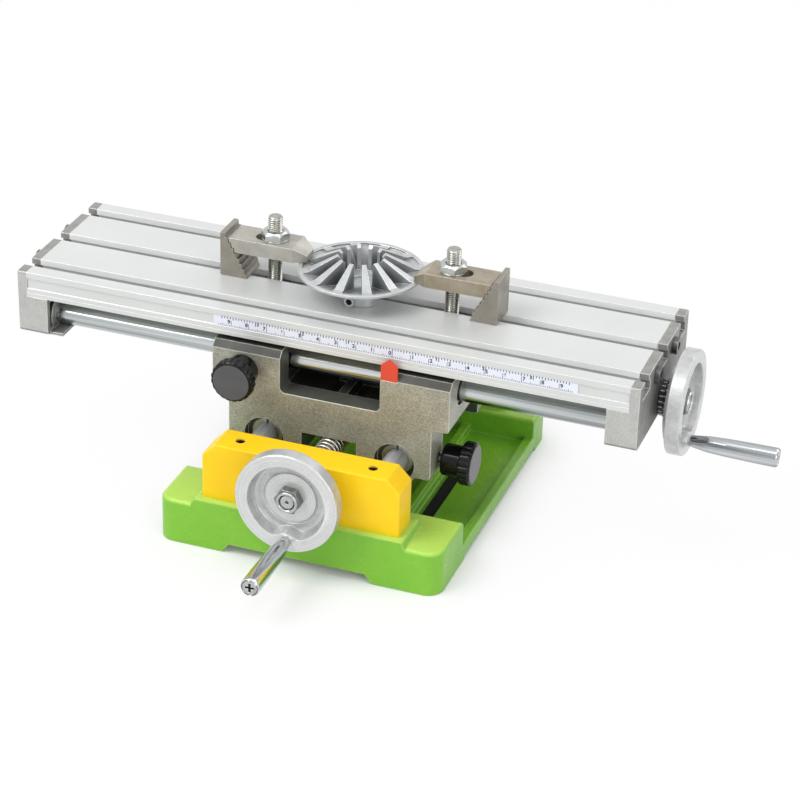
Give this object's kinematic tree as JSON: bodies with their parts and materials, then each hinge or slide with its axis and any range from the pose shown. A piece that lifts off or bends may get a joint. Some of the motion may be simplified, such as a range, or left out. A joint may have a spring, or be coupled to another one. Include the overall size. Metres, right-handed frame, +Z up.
{
  "type": "cross slide table",
  "caption": "Compound work table with slotted top moved along and across by handwheels on guide rods, with step clamps holding a finned disc.",
  "frame": {"origin": "middle of the base's footprint, on the floor", "axes": "+X along the slotted table towards its handwheel, +Y away from the operator's side, +Z up"},
  "size_m": [0.4144, 0.251, 0.152],
  "materials": {
    "green_paint": "gloss casting paint",
    "yellow_paint": "gloss paint",
    "grey_iron": "machined casting",
    "bracket_iron": "cast, lightly blasted",
    "plate_aluminium": "satin anodised",
    "wheel_aluminium": "cast and turned",
    "bright_steel": "ground and plated",
    "zinc_steel": "zinc plated",
    "clamp_steel": "hardened, brown oxide",
    "bronze": "turned bronze",
    "black_plastic": "moulded, polished",
    "dial_black": "black with white lines",
    "strip_white": "printed scale",
    "pointer_red": "red paint"
  },
  "bodies": {
    "base": {"base_casting": "green_paint", "front_block": "yellow_paint", "rear_block": "yellow_paint", "y_guide_rods": "bright_steel", "block_grub_screws": "zinc_steel", "block_bolts": "zinc_steel", "y_spring": "zinc_steel"},
    "saddle": {"saddle_casting": "grey_iron", "rod_bushes": "bronze", "x_nut": "bronze", "y_nut": "bronze", "pointer": "pointer_red"},
    "table": {"table_plate": "plate_aluminium", "scale_strip": "strip_white", "left_bracket": "bracket_iron", "right_bracket": "bracket_iron", "x_guide_rods": "bright_steel", "bracket_screws": "zinc_steel", "finned_disc": "wheel_aluminium", "disc_set_screw": "zinc_steel"},
    "x_screw": {"x_lead_screw": "zinc_steel", "x_dial": "dial_black", "x_handwheel": "wheel_aluminium", "x_hub_nut": "zinc_steel", "x_handle_pin": "zinc_steel"},
    "x_grip": {"x_grip": "bright_steel"},
    "y_screw": {"y_lead_screw": "zinc_steel", "y_dial": "dial_black", "y_handwheel": "wheel_aluminium", "y_hub_nut": "zinc_steel", "y_handle_pin": "zinc_steel"},
    "y_grip": {"y_grip": "bright_steel"},
    "front_lock_stud": {"front_lock_stud": "zinc_steel"},
    "front_lock_knob": {"front_lock_knob": "black_plastic"},
    "side_lock_stud": {"side_lock_stud": "zinc_steel"},
    "side_lock_knob": {"side_lock_knob": "black_plastic"},
    "left_clamp": {"left_step_block": "clamp_steel", "left_strap": "clamp_steel", "left_t_bolt": "zinc_steel"},
    "left_washer": {"left_washer": "zinc_steel"},
    "left_nut": {"left_nut": "zinc_steel"},
    "right_clamp": {"right_step_block": "clamp_steel", "right_strap": "clamp_steel", "right_t_bolt": "zinc_steel"},
    "right_washer": {"right_washer": "zinc_steel"},
    "right_nut": {"right_nut": "zinc_steel"}
  },
  "joints": [
    {"name": "y_wheel_turn", "type": "hinge", "parent": "base", "child": "y_screw", "pos_m": [0, -0.109, 0.0468], "axis": [0, 1, 0], "range_deg": [-4014, 4896]},
    {"name": "cross_slide", "type": "slide", "parent": "base", "child": "saddle", "axis": [0, 1, 0], "range_m": [-0.022, 0.027], "deforming": ["y_spring"]},
    {"name": "x_wheel_turn", "type": "hinge", "parent": "table", "child": "x_screw", "pos_m": [0.1815, 0.004, 0.087], "axis": [1, 0, 0], "range_deg": [-14616, 16308]},
    {"name": "long_slide", "type": "slide", "parent": "saddle", "child": "table", "axis": [1, 0, 0], "range_m": [-0.081, 0.09]},
    {"name": "y_grip_spin", "type": "hinge", "parent": "y_screw", "child": "y_grip", "pos_m": [0, -0.13, 0.0244], "axis": [0, 1, 0], "continuous": true},
    {"name": "x_grip_spin", "type": "hinge", "parent": "x_screw", "child": "x_grip", "pos_m": [0.2, 0.004, 0.0646], "axis": [1, 0, 0], "continuous": true},
    {"name": "front_lock_feed", "type": "slide", "parent": "saddle", "child": "front_lock_stud", "axis": [0, -1, 0], "range_m": [-0.00221, 0.00301]},
    {"name": "front_lock_turn", "type": "hinge", "parent": "front_lock_stud", "child": "front_lock_knob", "pos_m": [-0.0475, -0.06, 0.087], "axis": [0, -1, 0], "range_deg": [-792, 1080]},
    {"name": "side_lock_feed", "type": "slide", "parent": "saddle", "child": "side_lock_stud", "axis": [1, 0, 0], "range_m": [-0.00221, 0.00301]},
    {"name": "side_lock_turn", "type": "hinge", "parent": "side_lock_stud", "child": "side_lock_knob", "pos_m": [0.07, -0.0335, 0.0468], "axis": [1, 0, 0], "range_deg": [-792, 1080]},
    {"name": "left_clamp_slide", "type": "slide", "parent": "table", "child": "left_clamp", "axis": [1, 0, 0], "range_m": [-0.09, 0]},
    {"name": "left_nut_rise", "type": "slide", "parent": "left_clamp", "child": "left_washer", "axis": [0, 0, 1], "range_m": [-0.00001, 0.00501]},
    {"name": "left_nut_turn", "type": "hinge", "parent": "left_washer", "child": "left_nut", "pos_m": [-0.052, 0.004, 0.142], "axis": [0, 0, 1], "range_deg": [0, 1440]},
    {"name": "right_clamp_slide", "type": "slide", "parent": "table", "child": "right_clamp", "axis": [1, 0, 0], "range_m": [0, 0.08]},
    {"name": "right_nut_rise", "type": "slide", "parent": "right_clamp", "child": "right_washer", "axis": [0, 0, 1], "range_m": [-0.00001, 0.00501]},
    {"name": "right_nut_turn", "type": "hinge", "parent": "right_washer", "child": "right_nut", "pos_m": [0.0485, 0.004, 0.142], "axis": [0, 0, 1], "range_deg": [0, 1440]}
  ],
  "couplings": [
    {"joint": "y_wheel_turn", "follows": "cross_slide", "rad_per_m": 3141.6},
    {"joint": "x_wheel_turn", "follows": "long_slide", "rad_per_m": 3141.6},
    {"joint": "front_lock_feed", "follows": "front_lock_turn", "m_per_rad": 0.00015915},
    {"joint": "side_lock_feed", "follows": "side_lock_turn", "m_per_rad": 0.00015915},
    {"joint": "left_nut_rise", "follows": "left_nut_turn", "m_per_rad": 0.00019894},
    {"joint": "right_nut_rise", "follows": "right_nut_turn", "m_per_rad": 0.00019894}
  ]
}
